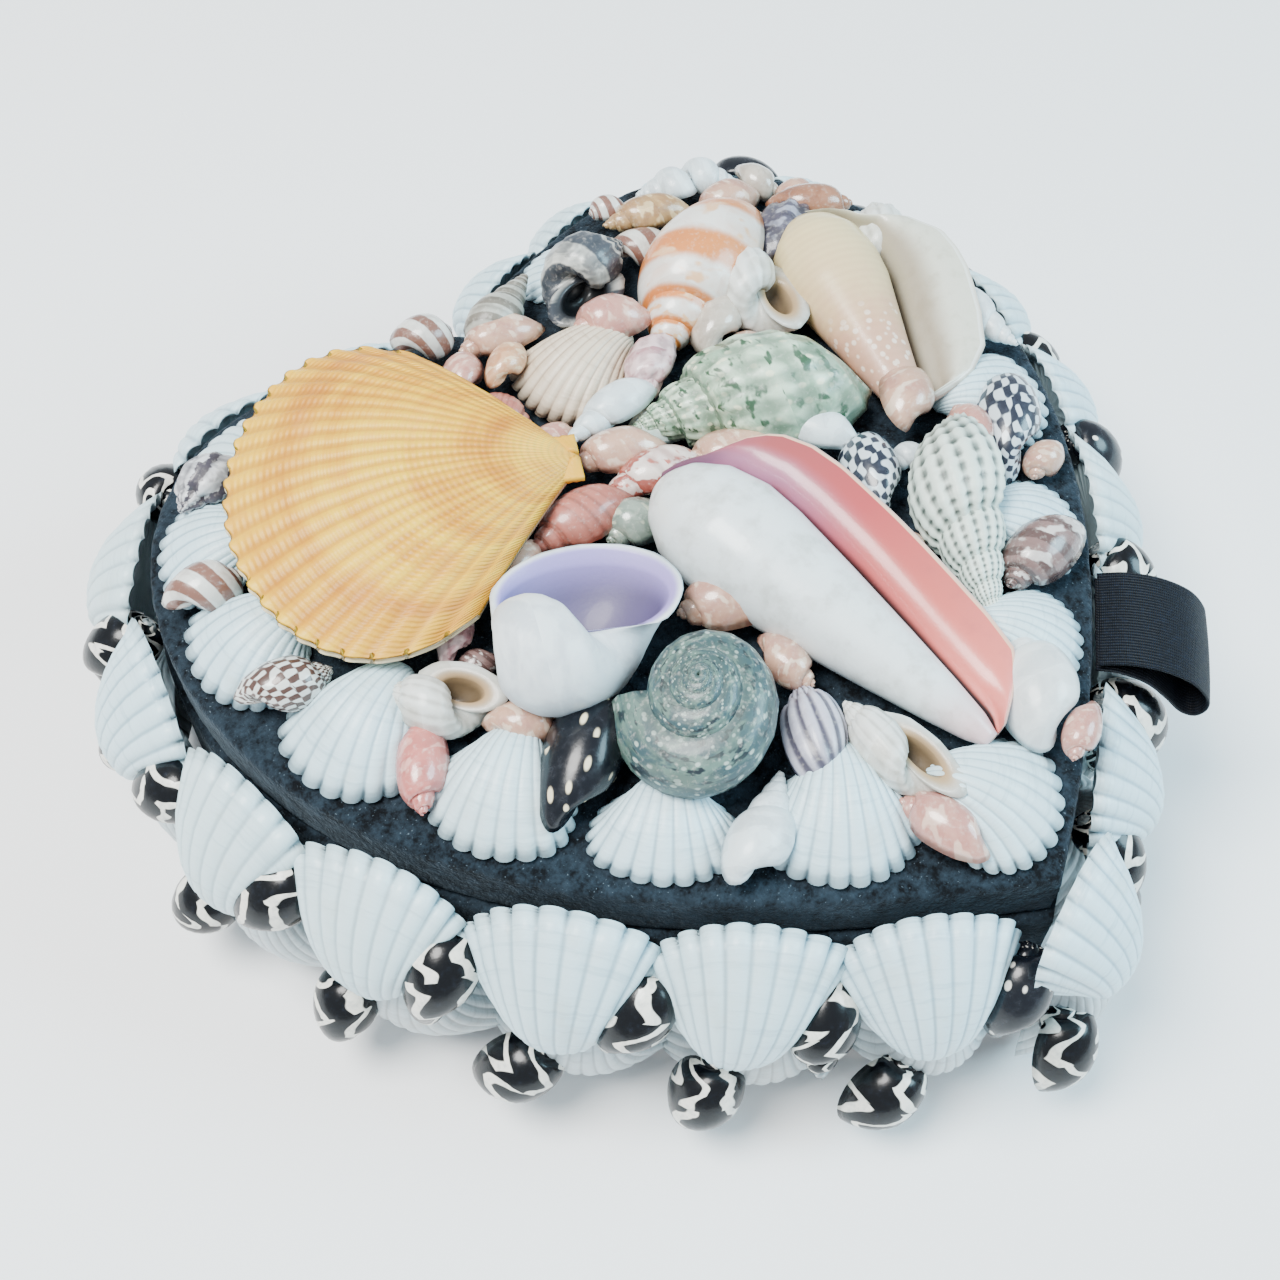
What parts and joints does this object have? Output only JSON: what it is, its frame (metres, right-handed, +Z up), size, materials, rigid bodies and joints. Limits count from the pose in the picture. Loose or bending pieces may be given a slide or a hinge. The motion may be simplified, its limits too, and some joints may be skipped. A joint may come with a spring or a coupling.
{
  "type": "shell box",
  "caption": "Heart-shaped velvet-covered box with a lift-off lid, its sides and lid set all over with sea shells, and a ribbon loop for lifting the lid.",
  "frame": {"origin": "on the flat underside of the tray, on the heart's axis of symmetry, 78 mm behind the point of the heart", "axes": "+Z up; the point of the heart looks along -Y and its notch along +Y; +X is the side with the ribbon"},
  "size_m": [0.1727, 0.1663, 0.0735],
  "materials": {
    "velvet": "satin",
    "ribbon": "satin",
    "white_cockle": "satin",
    "yellow_scallop": "satin",
    "conch": "gloss",
    "violet_shell": "gloss",
    "top_shell": "satin",
    "black_nerite": "gloss",
    "green_shell": "satin",
    "banded_shell": "gloss",
    "tan_shell": "gloss",
    "beige_shell": "satin",
    "grey_shell": "satin",
    "white_snail": "gloss"
  },
  "bodies": {
    "root": {"box_tray": "velvet", "lid": "velvet", "ribbon_pull": "ribbon", "upper_cockle_01": "white_cockle", "upper_cockle_02": "white_cockle", "upper_cockle_03": "white_cockle", "upper_cockle_04": "white_cockle", "upper_cockle_05": "white_cockle", "upper_cockle_06": "white_cockle", "upper_cockle_07": "white_cockle", "upper_cockle_08": "white_cockle", "upper_cockle_09": "white_cockle", "upper_cockle_10": "white_cockle", "upper_cockle_11": "white_cockle", "upper_cockle_12": "white_cockle", "upper_cockle_13": "white_cockle", "upper_cockle_14": "white_cockle", "upper_cockle_15": "white_cockle", "upper_cockle_16": "white_cockle", "upper_cockle_17": "white_cockle", "upper_cockle_18": "white_cockle", "upper_cockle_19": "white_cockle", "upper_cockle_20": "white_cockle", "lower_cockles_01": "white_cockle", "lower_cockles_02": "white_cockle", "lower_cockles_03": "white_cockle", "lower_cockles_04": "white_cockle", "lower_cockles_05": "white_cockle", "lower_cockles_06": "white_cockle", "lower_cockles_07": "white_cockle", "lower_cockles_08": "white_cockle", "lower_cockles_09": "white_cockle", "lower_cockles_10": "white_cockle", "edge_cockle_01": "white_cockle", "edge_cockle_02": "white_cockle", "edge_cockle_03": "white_cockle", "edge_cockle_04": "white_cockle", "edge_cockle_05": "white_cockle", "edge_cockle_06": "white_cockle", "edge_cockle_07": "white_cockle", "edge_cockle_08": "white_cockle", "edge_cockle_09": "white_cockle", "edge_cockle_10": "white_cockle", "edge_cockle_11": "white_cockle", "edge_cockle_12": "white_cockle", "edge_cockle_13": "white_cockle", "edge_cockle_14": "white_cockle", "edge_cockle_15": "white_cockle", "scallop": "yellow_scallop", "strawberry_conch": "conch", "violet_snail": "violet_shell", "top_shell": "top_shell", "dotted_nerite": "black_nerite", "green_turban": "green_shell", "banded_shell": "banded_shell", "tan_conch": "tan_shell", "ribbed_cockle": "beige_shell", "cancellate_turret": "grey_shell", "dark_nassa": "grey_shell", "white_snail": "white_snail"}
  },
  "joints": []
}
